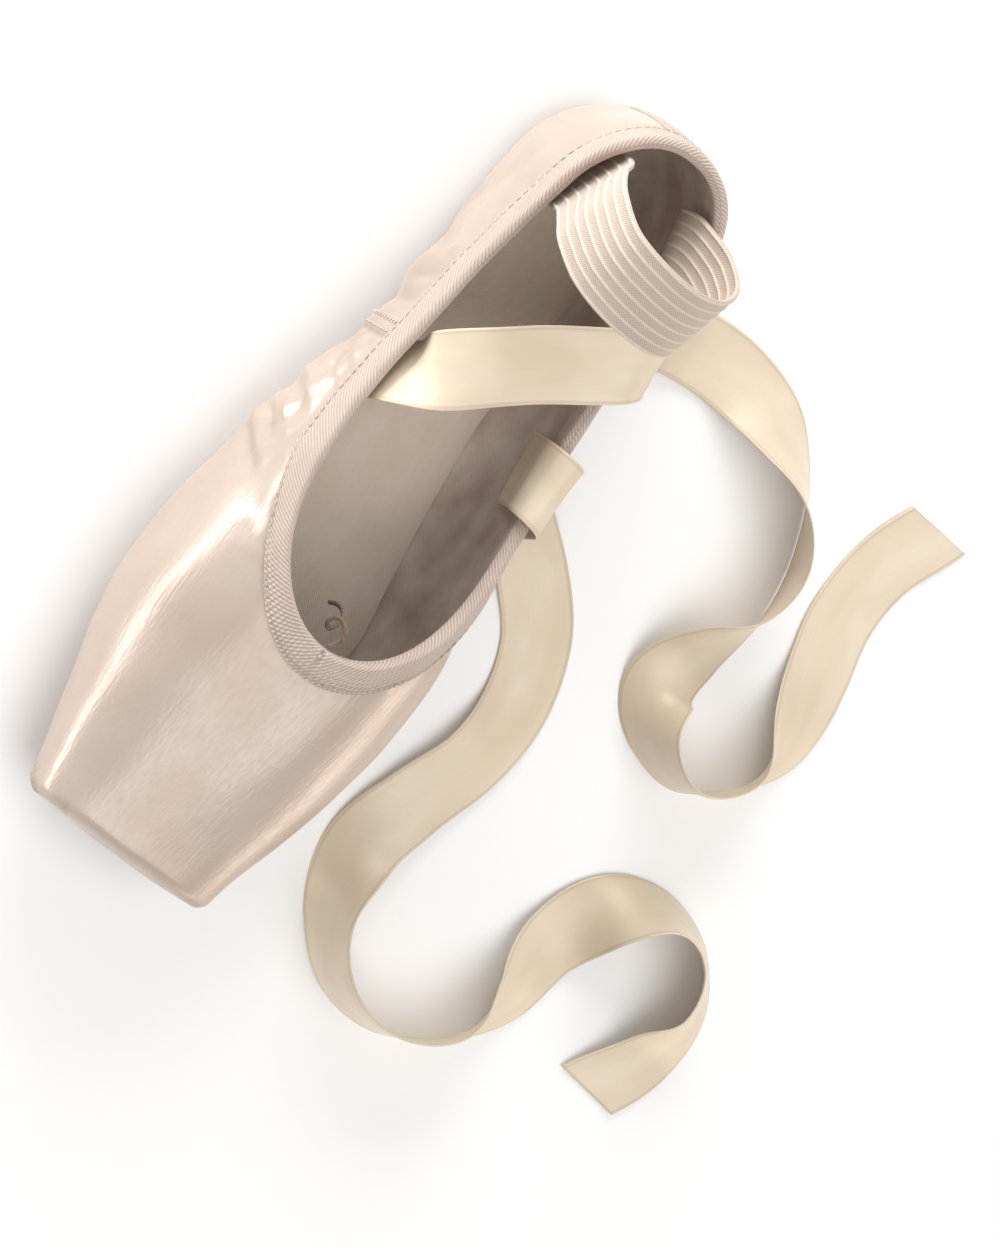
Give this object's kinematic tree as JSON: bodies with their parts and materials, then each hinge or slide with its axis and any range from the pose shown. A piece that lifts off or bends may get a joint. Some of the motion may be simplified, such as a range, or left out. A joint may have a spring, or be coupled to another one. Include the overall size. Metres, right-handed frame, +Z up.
{
  "type": "pointe shoe",
  "caption": "Satin pointe shoe with a flat tip, bound collar, ankle elastic and loose satin ribbons.",
  "frame": {"origin": "on the floor under the middle of the shoe without its ribbons", "axes": "+X towards the toe, +Y to the shoe's left, +Z up from the floor"},
  "size_m": [0.249, 0.2418, 0.0911],
  "materials": {
    "satin": "glossy woven satin",
    "sole_leather": "thin burnished leather",
    "sock": "matt cotton",
    "twill": "matt twill tape",
    "satin_strip": "glossy woven satin",
    "elastic_net": "ribbed elastic",
    "ribbon_satin": "soft satin ribbon",
    "cord_cotton": "twisted cotton"
  },
  "bodies": {
    "root": {"upper": "satin", "outsole": "sole_leather", "insole": "sock", "collar_binding": "twill", "back_strip": "satin_strip", "elastic": "elastic_net", "ribbon_right": "ribbon_satin", "ribbon_left": "ribbon_satin", "drawstring": "cord_cotton"}
  },
  "joints": []
}
